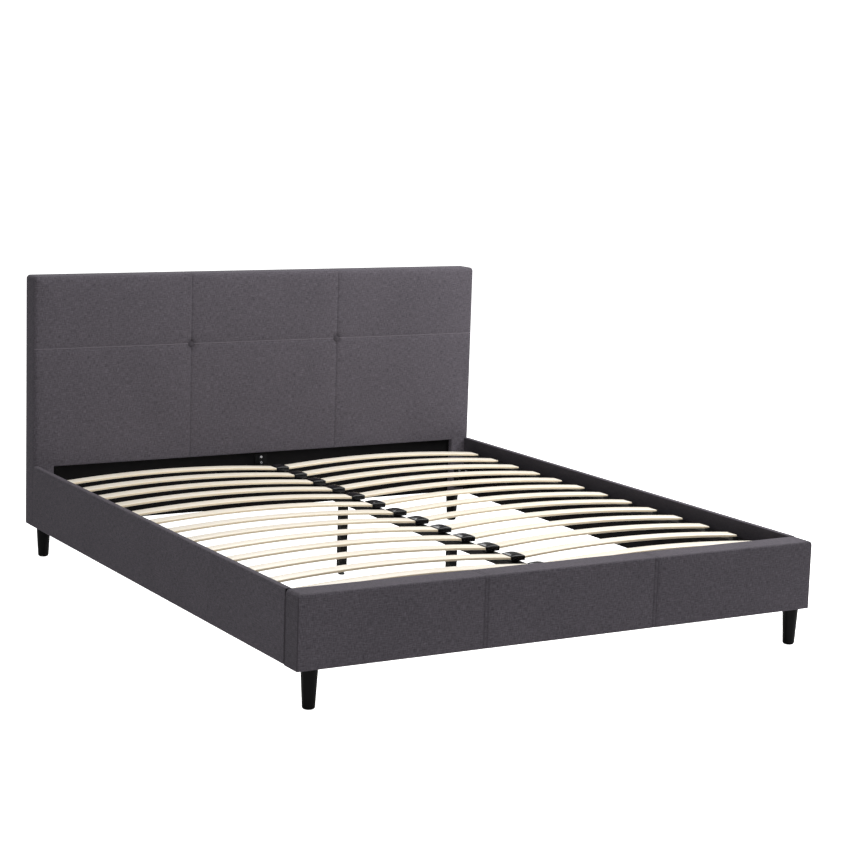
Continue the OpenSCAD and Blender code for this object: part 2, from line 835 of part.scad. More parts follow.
module ledger_screws() {
    color(ZINC) both_sides() for (k = [0 : screw_count - 1]) {
        translate([board_x0 - ledger_t, screw_y(k), screw_z]) rotate([0, 90, 0]) {
            cylinder(h = screw_l, r = screw_d / 2);
            translate([0, 0, -screw_head_h]) cylinder(h = screw_head_h, r1 = screw_head_r * 0.7, r2 = screw_head_r);
        }
    }
}

headboard_panel();
headboard_battens();
headboard_cross_rail();
headboard_foam();
headboard_cover();
headboard_back_cloth();
headboard_buttons();
footboard_frame();
footboard_foam();
footboard_cover();
side_rail_left();
side_rail_right();
side_cover_left();
side_cover_right();
slat_ledger_left();
slat_ledger_right();
corner_brackets();
frame_bolts();
leg_front_left();
leg_front_right();
leg_rear_left();
leg_rear_right();
leg_inserts();
leg_studs();
center_rail();
center_hangers();
center_leg_head();
center_leg_foot();
center_leg_plugs();
glide_head();
glide_foot();
center_caps();
side_shoes();
ledger_screws();
for (k = [0 : slat_rows - 1]) {
    translate([0, row_y(k), 0]) slat();
    union() {
        translate([0, row_y(k), 0]) mirror([1, 0, 0]) slat();
    }
}
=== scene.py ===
# %% [markdown]
# # An upholstered bed frame
# The bed has a padded headboard, a wrapped footboard and two wrapped side rails round rows of
# bowed birch slats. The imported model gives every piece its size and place, so this lesson adds
# what such a model leaves plain: cloth with seams, rounded padding, wood grain and lacquer.
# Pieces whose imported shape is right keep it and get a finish; the others are made again here.

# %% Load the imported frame
import json
import math

import bmesh
import bpy
from mathutils import Matrix, Vector, noise


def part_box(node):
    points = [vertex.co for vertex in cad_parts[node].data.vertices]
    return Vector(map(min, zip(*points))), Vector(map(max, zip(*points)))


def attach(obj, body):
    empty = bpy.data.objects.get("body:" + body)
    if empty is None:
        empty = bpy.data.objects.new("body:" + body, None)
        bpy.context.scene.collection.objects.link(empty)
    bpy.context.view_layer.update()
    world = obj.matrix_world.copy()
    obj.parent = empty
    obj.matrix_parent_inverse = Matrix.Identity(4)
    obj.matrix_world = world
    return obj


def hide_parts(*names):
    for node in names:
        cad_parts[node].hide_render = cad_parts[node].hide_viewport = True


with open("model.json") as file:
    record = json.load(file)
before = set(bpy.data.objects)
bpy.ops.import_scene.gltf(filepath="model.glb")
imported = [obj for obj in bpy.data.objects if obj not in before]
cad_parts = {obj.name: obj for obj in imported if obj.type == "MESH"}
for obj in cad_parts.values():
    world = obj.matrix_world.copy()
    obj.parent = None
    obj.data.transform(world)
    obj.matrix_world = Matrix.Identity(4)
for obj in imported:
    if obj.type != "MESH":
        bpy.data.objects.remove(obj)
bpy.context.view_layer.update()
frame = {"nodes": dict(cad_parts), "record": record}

BED = "bed_frame"

# %% [markdown]
# ## Colours and shader nodes
# Paint charts give colours as screen values, but a shader wants linear light, so one function
# turns one into the other. A second small function adds a shader node, sets its settings and
# links its inputs, which keeps each material below short enough to read as a recipe.

# %% Colour and node helpers
def linear(hex_colour):
    parts = [int(hex_colour[k:k + 2], 16) / 255 for k in (1, 3, 5)]
    return tuple(c / 12.92 if c <= 0.04045 else ((c + 0.055) / 1.055) ** 2.4 for c in parts) + (1.0,)


def add(tree, kind, inputs=None, **settings):
    """Adds one node. A value in inputs is a constant, or an output socket to link from."""
    node = tree.nodes.new("ShaderNode" + kind)
    for key, value in settings.items():
        setattr(node, key, value)
    for key, value in (inputs or {}).items():
        if isinstance(value, bpy.types.NodeSocket):
            tree.links.new(value, node.inputs[key])
        else:
            node.inputs[key].default_value = value
    return node


def new_finish(name, roughness, **constants):
    """A material with its shader node; constants are set on the shader's own sockets."""
    material = bpy.data.materials.new(name)
    material.use_nodes = True
    shader = material.node_tree.nodes["Principled BSDF"]
    shader.inputs["Roughness"].default_value = roughness
    for key, value in constants.items():
        shader.inputs[key.replace("_", " ")].default_value = value
    return material, material.node_tree, shader


def two_tone(tree, factor, dark, light, low=0.3, high=0.7):
    """A ramp from one colour to another as factor goes from low to high."""
    ramp = add(tree, "ValToRGB", {"Fac": factor})
    ramp.color_ramp.elements[0].position = low
    ramp.color_ramp.elements[0].color = linear(dark)
    ramp.color_ramp.elements[1].position = high
    ramp.color_ramp.elements[1].color = linear(light)
    return ramp.outputs["Color"]


print("charcoal in linear light:", [round(c, 3) for c in linear("#504B50")])

# %% [markdown]
# ## The cover cloth
# The cover is a plain-weave linen-look polyester in charcoal. Its yarns are dyed in several
# greys before weaving, so the cloth has short light and dark dashes along both yarn directions.
# Real yarns are about 0.7 mm apart, too fine to show at this distance, so the weave is drawn
# at 2.4 mm. The pattern follows each piece's own UV map, which is laid in metres, so the yarns
# run straight up and across on every face and turn over the edges as real cloth does.

# %% Woven polyester
YARN = 0.0024
# Scales per metre: a dyed dash is about 17 mm by 2.4 mm, a slub 45 mm long, a cloud 250 mm across
DASH_LONG, DASH_WIDE, SLUB_LONG, CLOUD = 60, 420, 22, 4.0


def woven_polyester(name, dark, light, seam_shade):
    material, tree, shader = new_finish(name, 0.92, Sheen_Weight=0.12, Sheen_Roughness=0.5,
                                        Specular_IOR_Level=0.2)
    shader.inputs["Sheen Tint"].default_value = linear("#A7A3AC")
    cloth = add(tree, "UVMap", uv_map="cloth").outputs["UV"]
    turns = 1 / YARN / 2
    across = add(tree, "Mapping", {"Vector": cloth, "Scale": (DASH_LONG, DASH_WIDE, 1)})
    along = add(tree, "Mapping", {"Vector": cloth, "Scale": (DASH_WIDE, DASH_LONG, 1)})
    weft = add(tree, "TexNoise", {"Vector": across.outputs[0], "Scale": 1.0, "Detail": 2.0})
    warp = add(tree, "TexNoise", {"Vector": along.outputs[0], "Scale": 1.0, "Detail": 2.0})
    yarns = add(tree, "Math", {0: weft.outputs["Fac"], 1: warp.outputs["Fac"]}, operation="ADD")
    clouds = add(tree, "TexNoise", {"Vector": cloth, "Scale": CLOUD, "Detail": 2.0})
    cloud = add(tree, "Math", {0: clouds.outputs["Fac"], 1: 0.2}, operation="MULTIPLY")
    mixed = add(tree, "Math", {0: yarns.outputs[0], 1: cloud.outputs[0]}, operation="ADD")
    tone = add(tree, "MapRange", {"Value": mixed.outputs[0], "From Min": 0.65, "From Max": 1.55})
    plain = two_tone(tree, tone.outputs[0], dark, light, 0.1, 0.9)
    slub_map = add(tree, "Mapping", {"Vector": cloth, "Scale": (SLUB_LONG, DASH_WIDE, 1)})
    slubs = add(tree, "TexNoise", {"Vector": slub_map.outputs[0], "Scale": 1.0, "Detail": 0.0})
    slub = add(tree, "MapRange", {"Value": slubs.outputs["Fac"], "From Min": 0.68, "From Max": 0.8,
                                  "To Max": 0.35})
    flecked = add(tree, "Mix", {"Factor": slub.outputs[0], "A": plain, "B": linear("#6E6970")},
                  data_type="RGBA")
    colour = flecked.outputs["Result"]
    # Painted shade: an attribute darkens the cloth towards the shade colour in seam grooves, button dimples
    # and joints, and on faces turned away from the light.
    painted_shade = add(tree, "Attribute", attribute_name="painted_shade").outputs["Fac"]
    shaded = add(tree, "Mix", {"Factor": painted_shade, "A": colour, "B": linear(seam_shade)}, data_type="RGBA")
    # Painted highlight: an attribute lightens a thin line of the cloth towards a pale grey.
    painted_highlight = add(tree, "Attribute", attribute_name="painted_highlight").outputs["Fac"]
    highlighted = add(tree, "Mix", {"Factor": painted_highlight, "A": shaded.outputs["Result"], "B": linear("#7C767E")},
               data_type="RGBA")
    tree.links.new(highlighted.outputs["Result"], shader.inputs["Base Color"])
    wave_in = add(tree, "Mapping", {"Vector": cloth, "Scale": (turns, turns, 1)})
    ridge_u = add(tree, "TexWave", {"Vector": wave_in.outputs[0], "Scale": 1.0 / math.pi, "Distortion": 0.3},
                  bands_direction="X")
    ridge_v = add(tree, "TexWave", {"Vector": wave_in.outputs[0], "Scale": 1.0 / math.pi, "Distortion": 0.3},
                  bands_direction="Y")
    weave = add(tree, "Math", {0: ridge_u.outputs["Fac"], 1: ridge_v.outputs["Fac"]}, operation="MULTIPLY")
    height = add(tree, "Math", {0: weave.outputs[0], 1: yarns.outputs[0]}, operation="ADD")
    bump = add(tree, "Bump", {"Height": height.outputs[0], "Strength": 0.25, "Distance": 0.0006})
    tree.links.new(bump.outputs["Normal"], shader.inputs["Normal"])
    return material


# The third colour, #262327, is the painted shade colour.
cover_cloth = woven_polyester("charcoal_woven_polyester", "#39363B", "#5F5A61", "#262327")
print("made", cover_cloth.name)

# %% [markdown]
# ## Birch, lacquer and steel
# The slats are bent from birch veneers glued in layers: pale, with faint long grain on top and
# thin darker glue lines on the cut sides. Grain follows the piece's own UV map, and the layers
# follow an attribute that says how deep in the slat a point lies. The legs are turned beech
# under black satin lacquer, and the steel is powder coated, which gives it a fine orange peel.

# %% Wood finishes
# Scales per metre: a fibre is about 170 mm by 4 mm, and the broad figure 620 mm by 36 mm
FIBRES, FIGURE = (6, 260, 1), (1.6, 28, 1)
VENEERS, GLUE_SHARE = 5.0, 0.16


def layered_birch():
    material, tree, shader = new_finish("layered_birch_satin", 0.42, Coat_Weight=0.15, Coat_Roughness=0.3)
    grain_map = add(tree, "UVMap", uv_map="grain").outputs["UV"]
    stretched = add(tree, "Mapping", {"Vector": grain_map, "Scale": FIBRES})
    fibres = add(tree, "TexNoise", {"Vector": stretched.outputs[0], "Scale": 1.0, "Detail": 5.0})
    figure_map = add(tree, "Mapping", {"Vector": grain_map, "Scale": FIGURE})
    figure = add(tree, "TexNoise", {"Vector": figure_map.outputs[0], "Scale": 1.0, "Detail": 3.0,
                                    "Distortion": 0.6})
    mixed = add(tree, "Math", {0: fibres.outputs["Fac"], 1: figure.outputs["Fac"]}, operation="ADD")
    half = add(tree, "Math", {0: mixed.outputs[0], 1: 0.5}, operation="MULTIPLY")
    face = two_tone(tree, half.outputs[0], "#E9DECA", "#FCF5E9", 0.32, 0.66)
    depth = add(tree, "Attribute", attribute_name="depth").outputs["Fac"]
    layers = add(tree, "Math", {0: depth, 1: VENEERS}, operation="MULTIPLY")
    within = add(tree, "Math", {0: layers.outputs[0]}, operation="FRACT")
    glue = add(tree, "Math", {0: within.outputs[0], 1: GLUE_SHARE}, operation="LESS_THAN")
    odd = add(tree, "Math", {0: layers.outputs[0], 1: 2.0}, operation="MODULO")
    end_grain = two_tone(tree, odd.outputs[0], "#F2E6D0", "#E6D6B8", 0.45, 0.55)
    edge = add(tree, "Mix", {"Factor": glue.outputs[0], "A": end_grain, "B": linear("#CDB48C")},
               data_type="RGBA")
    cut = add(tree, "Attribute", attribute_name="cut").outputs["Fac"]
    wood = add(tree, "Mix", {"Factor": cut, "A": face, "B": edge.outputs["Result"]}, data_type="RGBA")
    tint = add(tree, "Attribute", attribute_name="tint").outputs["Fac"]
    shade = add(tree, "HueSaturation", {"Color": wood.outputs["Result"], "Value": tint})
    tree.links.new(shade.outputs["Color"], shader.inputs["Base Color"])
    bump = add(tree, "Bump", {"Height": fibres.outputs["Fac"], "Strength": 0.15, "Distance": 0.0004})
    tree.links.new(bump.outputs["Normal"], shader.inputs["Normal"])
    return material


def raw_wood(name, dark, light, scale):
    material, tree, shader = new_finish(name, 0.7)
    place = add(tree, "TexCoord").outputs["Object"]
    stretched = add(tree, "Mapping", {"Vector": place, "Scale": scale})
    fibres = add(tree, "TexNoise", {"Vector": stretched.outputs[0], "Scale": 1.0, "Detail": 6.0,
                                    "Distortion": 0.4})
    colour = two_tone(tree, fibres.outputs["Fac"], dark, light, 0.35, 0.65)
    tree.links.new(colour, shader.inputs["Base Color"])
    bump = add(tree, "Bump", {"Height": fibres.outputs["Fac"], "Strength": 0.2, "Distance": 0.0005})
    tree.links.new(bump.outputs["Normal"], shader.inputs["Normal"])
    return material


birch = layered_birch()
plywood = raw_wood("raw_poplar_plywood", "#A98B60", "#CBB088", (3, 60, 60))
pine = raw_wood("planed_pine", "#C9A56C", "#E3C796", (2.5, 70, 70))
print("made", birch.name, plywood.name, pine.name)

# %% Coated, plated and moulded finishes
def speckled(name, dark, light, grain_mm, roughness, bump_mm, **constants):
    """A finish whose colour, gloss and surface vary with one fine pattern."""
    material, tree, shader = new_finish(name, roughness, **constants)
    place = add(tree, "TexCoord").outputs["Object"]
    fine = add(tree, "TexNoise", {"Vector": place, "Scale": 1000 / grain_mm, "Detail": 2.0})
    broad = add(tree, "TexNoise", {"Vector": place, "Scale": 9.0, "Detail": 4.0})
    mixed = add(tree, "Math", {0: fine.outputs["Fac"], 1: broad.outputs["Fac"]}, operation="ADD")
    half = add(tree, "Math", {0: mixed.outputs[0], 1: 0.5}, operation="MULTIPLY")
    tree.links.new(two_tone(tree, half.outputs[0], dark, light), shader.inputs["Base Color"])
    gloss = add(tree, "MapRange", {"Value": broad.outputs["Fac"], "To Min": roughness - 0.06,
                                   "To Max": roughness + 0.08})
    tree.links.new(gloss.outputs[0], shader.inputs["Roughness"])
    bump = add(tree, "Bump", {"Height": fine.outputs["Fac"], "Strength": 0.3, "Distance": bump_mm / 1000})
    tree.links.new(bump.outputs["Normal"], shader.inputs["Normal"])
    return material


lacquer = speckled("black_satin_lacquer", "#030303", "#070607", 8, 0.3, 0.05, Specular_IOR_Level=0.1)
powder_coat = speckled("black_powder_coat", "#060606", "#0D0D0E", 1.6, 0.45, 0.15, Specular_IOR_Level=0.15)
foil = speckled("matt_black_board_foil", "#050405", "#0A090A", 3, 0.62, 0.1, Specular_IOR_Level=0.1)
nylon = speckled("black_moulded_nylon", "#101011", "#1A1A1C", 1.2, 0.5, 0.08)
gloss_abs = speckled("black_gloss_abs", "#040405", "#09090A", 12, 0.2, 0.02, Specular_IOR_Level=0.5)
zinc = speckled("bright_zinc_plate", "#B4B6BA", "#D6D7DA", 2, 0.26, 0.03, Metallic=1.0)
foam = speckled("cut_polyurethane_foam", "#CFC8AE", "#E7E1CB", 1.5, 0.95, 0.6)
lining_cloth = speckled("black_spunbond_lining", "#111113", "#232326", 1.8, 0.95, 0.4)
print("made", len(bpy.data.materials), "materials")

# %% [markdown]
# ## Helpers that shape a piece
# Every new piece starts as a simple solid and is then cut and rounded with the same operators
# as in the editor. Long faces have no points to move, so slicing a solid with many planes gives
# the padding something to bend. Keeping each object at the origin, with its place in its mesh,
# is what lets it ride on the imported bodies.

# %% Shaping helpers
def outline_solid(points, low, high):
    """A closed solid: an outline of (x, z) points, extruded along Y from low to high."""
    bm = bmesh.new()
    face = bm.faces.new([bm.verts.new((x, low, z)) for x, z in points])
    grown = bmesh.ops.extrude_face_region(bm, geom=[face])["geom"]
    moved = [part for part in grown if isinstance(part, bmesh.types.BMVert)]
    bmesh.ops.translate(bm, vec=(0, high - low, 0), verts=moved)
    bmesh.ops.recalc_face_normals(bm, faces=bm.faces[:])
    return bm


def solid_box(low, high, bm=None):
    """A box between two corners, in its own or a given bmesh."""
    bm = bm or bmesh.new()
    size = [high[k] - low[k] for k in range(3)]
    middle = [(high[k] + low[k]) / 2 for k in range(3)]
    place = Matrix.Translation(middle) @ Matrix.Diagonal((*size, 1))
    bmesh.ops.create_cube(bm, size=1.0, matrix=place)
    return bm


def soften(bm, edges, width, segments=3):
    bmesh.ops.bevel(bm, geom=edges, offset=width, offset_type="OFFSET", affect="EDGES", segments=segments,
                    profile=0.5, material=-1, clamp_overlap=True)


def slice_across(bm, axis, low, high, step, extra=()):
    """Cuts the whole mesh with planes across one axis, about every step, and at each extra place."""
    count = max(1, round((high - low) / step))
    places = sorted({round(low + (high - low) * k / count, 5) for k in range(1, count)} | set(extra))
    kept = []
    for p in places:
        if p in extra or not any(abs(p - e) < step * 0.3 for e in extra):
            kept.append(p)
    normal = Vector((0, 0, 0))
    normal[axis] = 1
    for p in kept:
        geom = bm.verts[:] + bm.edges[:] + bm.faces[:]
        bmesh.ops.bisect_plane(bm, geom=geom, dist=1e-5, plane_co=normal * p, plane_no=normal)


def edges_at(bm, test, along=None):
    """Edges whose two ends both pass the test, and which run along the given axis."""
    picked = [e for e in bm.edges if test(e.verts[0].co) and test(e.verts[1].co)]
    if along is not None:
        picked = [e for e in picked
                  if abs(e.verts[0].co[along] - e.verts[1].co[along]) > 0.9 * e.calc_length()]
    return picked


def join_into(whole, one):
    """Moves one bmesh into another by way of a mesh, for a shape that is repeated."""
    part = bpy.data.meshes.new("part")
    one.to_mesh(part)
    one.free()
    whole.from_mesh(part)
    bpy.data.meshes.remove(part)


print("shaping helpers ready")

# %% [markdown]
# ## Finishing a piece
# A finished piece is a mesh object with one material, riding on a body, and the imported pieces
# it replaces are hidden. Cloth needs its UV map laid flat on each face, in metres. One helper lays
# it by the way each face points, and carries the map on round the front's edges, so that the
# yarns turn a corner unbroken. Smooth shading with an angle limit keeps crisp corners.

# %% Finishing helpers
def lay_cloth(mesh):
    """UV map in metres: yarns run along the two axes that a face lies nearest to."""
    layer = mesh.uv_layers.new(name="cloth")
    front_y = min(v.co.y for v in mesh.vertices)
    for face in mesh.polygons:
        n = [abs(c) for c in face.normal]
        flat = n.index(max(n))
        turned = math.copysign(1, face.normal[flat])
        for k in face.loop_indices:
            p = mesh.vertices[mesh.loops[k].vertex_index].co
            back_by = turned * (p.y - front_y)
            layer.data[k].uv = {0: (p.x + back_by, p.z), 1: (p.x, p.z), 2: (p.x, p.z + back_by)}[flat]


def point_values(mesh, name, values):
    store = mesh.attributes.new(name, "FLOAT", "POINT")
    store.data.foreach_set("value", values)


def finish_piece(name, bm, material, replaces=(), body=BED, sharp=35, cloth=False):
    mesh = bpy.data.meshes.new(name)
    bm.to_mesh(mesh)
    bm.free()
    mesh.materials.append(material)
    mesh.shade_smooth()
    mesh.set_sharp_from_angle(angle=math.radians(sharp))
    if cloth:
        lay_cloth(mesh)
    piece = bpy.data.objects.new(name, mesh)
    bpy.context.scene.collection.objects.link(piece)
    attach(piece, body)
    if replaces:
        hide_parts(*replaces)
    return piece


print("finishing helpers ready")

# %% [markdown]
# ## The headboard cover
# The headboard is one padded slab, with a dark window at the foot of its front where the frame
# shows between rail and slats. It could be a plain box with a displacement texture, but padding
# has a clear logic: it is tied down along the seams, at the buttons and at the edges, and it
# swells between them. So each point moves out along its normal by an amount worked out from how
# far it lies from the nearest seam, button and edge.

# %% Headboard slab
WINDOW_EDGE, TOP_CORNER, FRONT_EDGE, BACK_EDGE = 0.005, 0.014, 0.0125, 0.001
CORNER_REACH = 0.0145
cover_low, cover_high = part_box("headboard_cover")
cross_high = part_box("headboard_cross_rail")[1]
window_x = cross_high.x + 0.0002
window_z = cross_high.z
x_end, z_low, z_top = cover_high.x, cover_low.z, cover_high.z
front, back = cover_low.y, cover_high.y
slab = outline_solid([(-x_end, z_low), (-window_x, z_low), (-window_x, window_z), (window_x, window_z),
                      (window_x, z_low), (x_end, z_low), (x_end, z_top), (-x_end, z_top)], front, back)
at_window = edges_at(slab, lambda p: p.y < front + 1e-4 and abs(p.x) < window_x + 1e-4)
soften(slab, at_window, WINDOW_EDGE, 3)
at_corners = edges_at(slab, lambda p: abs(p.x) > x_end - 1e-4 and p.z > z_top - 1e-4, along=1)
soften(slab, at_corners, TOP_CORNER, 6)
outer = edges_at(slab, lambda p: p.y < front + 1e-4 and max(abs(p.x) - x_end, p.z - z_top) > -CORNER_REACH)
soften(slab, outer, FRONT_EDGE, 5)
soften(slab, edges_at(slab, lambda p: p.y > back - 1e-4), BACK_EDGE, 2)
button_low, button_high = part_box("headboard_buttons")
seam_x = button_high.x - (button_high.z - button_low.z) / 2
seam_z = (button_high.z + button_low.z) / 2
print("seams at x", round(seam_x, 3), "and z", round(seam_z, 3))

# %% Headboard padding
CROWN, SEAM_DIP, BUTTON_DIP = 0.0055, 0.0016, 0.0070
PAD_STEP = 0.0105
near_seam = (-0.006, -0.0025, 0.0, 0.0025, 0.006)
x_cuts = [side * seam_x + d for side in (-1, 1) for d in near_seam]
slice_across(slab, 0, -x_end, x_end, PAD_STEP, extra=x_cuts)
slice_across(slab, 2, z_low, z_top, PAD_STEP, extra=[seam_z + d for d in near_seam])
slice_across(slab, 1, front, back, 0.030)


def bump_of(d, width):
    return math.exp(-(d / width) ** 2)


def headboard_swell(p):
    """How far a point of the cover moves outwards, and how much shade is painted on it in seam grooves and
    button dimples.
    """
    to_seam = min(abs(abs(p.x) - seam_x), abs(p.z - seam_z))
    to_edge = min(x_end - 0.008 - abs(p.x), z_top - 0.008 - p.z)
    if abs(p.x) < window_x + 0.02:
        to_edge = min(to_edge, p.z - window_z - 0.008)
    else:
        to_edge = min(to_edge, max(p.z - 0.36, 0.0))
    to_edge = max(to_edge, 0.0)
    swell = CROWN * (1 - 0.5 * math.exp(-to_seam / 0.05)) * (1 - math.exp(-to_edge / 0.028))
    dx, dz = abs(p.x) - seam_x, p.z - seam_z
    r = math.hypot(dx, dz)
    folds = 0.0011 * math.cos(6 * math.atan2(dz, dx) + 0.6) * bump_of(r - 0.030, 0.016)
    dimple = BUTTON_DIP * bump_of(r, 0.014) + 0.0020 * bump_of(r, 0.045)
    uneven = 0.0009 * noise.noise(p * 6.0) + 0.0003 * noise.noise(p * 23.0)
    held = 1 - math.exp(-to_edge / 0.02)
    # Painted shade: darker along the vertical seams, less along the horizontal one, and most in the button
    # dimples.
    shade = max(bump_of(abs(p.x) - seam_x if abs(p.x) > 0.1 else 1, 0.0022), 0.5 * bump_of(dz, 0.0022),
                2.6 * bump_of(r, 0.016))
    return swell - SEAM_DIP * bump_of(to_seam, 0.0026) - dimple + (folds + uneven) * held, shade


slab.normal_update()
moves = []
for v in slab.verts:
    if v.co.y < front + 0.0005:
        moves.append((v, *headboard_swell(v.co)))
    # Along the top, the cover dips a little over each vertical seam and gets painted shade there.
    elif v.co.y < back - 0.001 and v.co.z > z_top - CORNER_REACH:
        dip = bump_of(abs(v.co.x) - seam_x, 0.0032)
        moves.append((v, -0.0007 * dip, dip))
painted_shade_of = {v.index: s for v, m, s in moves}
for v, move, s in moves:
    v.co += v.normal * move
slab.verts.index_update()
headboard_painted_shade = [painted_shade_of.get(v.index, 0.0) for v in slab.verts]
headboard = finish_piece("headboard_cover_cloth", slab, cover_cloth,
                         ["headboard_cover", "headboard_foam"], sharp=50, cloth=True)
# The painted shade is stored on the points at 0.3 of its strength.
point_values(headboard.data, "painted_shade", [0.3 * s for s in headboard_painted_shade])
# Painted highlight: a thin light line just above the horizontal seam on the front, where the seam's lip
# catches the light.
seam_lip_highlight = [0.6 * bump_of(v.co.z - seam_z - 0.0025, 0.0012) if v.normal.y < -0.5 else 0.0
              for v in headboard.data.vertices]
point_values(headboard.data, "painted_highlight", seam_lip_highlight)
print("headboard cover:", len(headboard.data.polygons), "faces")

# %% [markdown]
# ## The covered buttons
# Each button is a steel shell with the same cloth pulled over it. It is a low dome, so it is
# spun from half of its outline. Its rim sinks into the dimple that its tie pulls in the padding.

# %% Covered buttons
def spun(profile, steps, centre, bm=None):
    """A closed solid spun round the Z axis from (radius, height) points, moved to centre."""
    bm = bm or bmesh.new()
    verts = [bm.verts.new((r, 0, h)) for r, h in profile]
    edges = [bm.edges.new(pair) for pair in zip(verts, verts[1:])]
    before = set(bm.verts) - set(verts)
    bmesh.ops.spin(bm, geom=verts + edges, cent=(0, 0, 0), axis=(0, 0, 1), angle=2 * math.pi, steps=steps,
                   use_merge=True)
    made = [v for v in bm.verts if v not in before]
    bmesh.ops.remove_doubles(bm, verts=made, dist=1e-6)
    made = [v for v in bm.verts if v not in before]
    faces = list({f for v in made for f in v.link_faces})
    bmesh.ops.recalc_face_normals(bm, faces=faces)
    bmesh.ops.translate(bm, vec=centre, verts=made)
    return bm, made


button_r = (button_high.z - button_low.z) / 2
DOME_RISE, RIM_DROP, BUTTON_PROUD = 0.0065, 0.0005, 0.0062
rim = [(0.0, -0.004), (button_r * 0.8, -0.004), (button_r * 0.97, -0.002)]
dome = rim + [(button_r * math.sin(a * math.pi / 16), DOME_RISE * math.cos(a * math.pi / 16) - RIM_DROP)
              for a in range(8, -1, -1)]
facing = Matrix.Rotation(math.pi / 2, 4, "X")
buttons = bmesh.new()
for side in (-1, 1):
    buttons, made = spun(dome, 28, (0, 0, 0), buttons)
    stand = Matrix.Translation((side * seam_x, front + BUTTON_PROUD, seam_z)) @ facing
    bmesh.ops.transform(buttons, matrix=stand, verts=made)
cloth_buttons = finish_piece("headboard_button_cloth", buttons, cover_cloth, ["headboard_buttons"],
                             sharp=60, cloth=True)
# Painted shade: the whole button is darkened as if shaded in its dimple.
point_values(cloth_buttons.data, "painted_shade", [0.5] * len(cloth_buttons.data.vertices))
print("buttons:", len(cloth_buttons.data.polygons), "faces")

# %% [markdown]
# ## The footboard cover
# The footboard is padded all round and its top corners are round. Two pairs of stitched lines
# divide its front in thirds and a seam closes the cover near each front corner. The slab is a
# box whose corners are softened first and whose faces are then softened along their borders.

# %% Footboard slab
foot_low, foot_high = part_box("footboard_cover")
FOOT_CORNER, FOOT_FRONT_EDGE, FOOT_BACK_EDGE = 0.014, 0.006, 0.0035
foot = solid_box(foot_low, foot_high)
top_corners = edges_at(foot, lambda p: p.z > foot_high.z - 1e-4 and abs(p.x) > foot_high.x - 1e-4, along=1)
soften(foot, top_corners, FOOT_CORNER, 6)
soften(foot, edges_at(foot, lambda p: p.y < foot_low.y + 1e-4), FOOT_FRONT_EDGE, 4)
at_back = edges_at(foot, lambda p: p.y > foot_high.y - 1e-4 and p.z > foot_low.z + 0.001)
soften(foot, at_back, FOOT_BACK_EDGE, 3)
foot_seams = [side * seam_x + d for side in (-1, 1) for d in (-0.006, 0.006)]
cuts = [s + d for s in foot_seams for d in (-0.003, 0.0, 0.003)]
slice_across(foot, 0, foot_low.x, foot_high.x, PAD_STEP, extra=cuts)
slice_across(foot, 2, foot_low.z, foot_high.z, PAD_STEP)
slice_across(foot, 1, foot_low.y, foot_high.y, 0.012, extra=[foot_low.y + 0.010, foot_high.y - 0.009])
print("footboard slab:", len(foot.faces), "faces")

# %% Footboard padding
def footboard_swell(p):
    to_seam = min(abs(p.x - s) for s in foot_seams)
    to_edge = min(foot_high.x - 0.010 - abs(p.x), foot_high.z - 0.010 - p.z, p.z - foot_low.z - 0.006)
    to_edge = max(to_edge, 0.0)
    held = 1 - math.exp(-to_edge / 0.03)
    uneven = 0.0012 * noise.noise(p * 5.0) + 0.0004 * noise.noise(p * 19.0)
    swell = 0.0022 * (1 - math.exp(-to_seam / 0.03)) * held
    # The second value is painted shade in the stitched grooves.
    return swell - 0.0016 * bump_of(to_seam, 0.0026) + uneven * held, bump_of(to_seam, 0.0026)


foot.normal_update()
painted_shade_of = {}
corner_seam_y = foot_low.y + 0.006
for v in foot.verts:
    side = abs(v.co.x) > foot_high.x - 0.0015
    if v.normal.y < -0.3 or (v.normal.z > 0.3 and v.co.y < foot_high.y - 0.001):
        move, painted_shade = footboard_swell(v.co)
        if v.normal.z > 0.3:
            move = -0.0012 * painted_shade + 0.0008 * noise.noise(v.co * 7.0)
        v.co += v.normal * move
        painted_shade_of[v] = painted_shade
    # Painted shade: the end faces are darkened, most along the corner seam and at the joint with the rail.
    if side:
        to_joint = foot_high.y - v.co.y
        painted_shade_of[v] = max(0.6, 2.0 * bump_of(v.co.y - corner_seam_y, 0.003), 2.2 * bump_of(to_joint, 0.004))
foot_painted_shade = [0.4 * painted_shade_of.get(v, 0.0) for v in foot.verts]
footboard = finish_piece("footboard_cover_cloth", foot, cover_cloth,
                         ["footboard_cover", "footboard_foam"], sharp=50, cloth=True)
point_values(footboard.data, "painted_shade", foot_painted_shade)
print("footboard cover:", len(footboard.data.polygons), "faces")

# %% [markdown]
# ## The side rail covers
# Each rail is a board with thin wadding, wrapped over the top and stapled inside above the
# ledger. A wrap has the same cross-section all along, so it is an outline extruded along the
# bed. Its outer edges are softened, and small unevenness keeps the long face from looking
# machined. The left wrap is the right one mirrored.

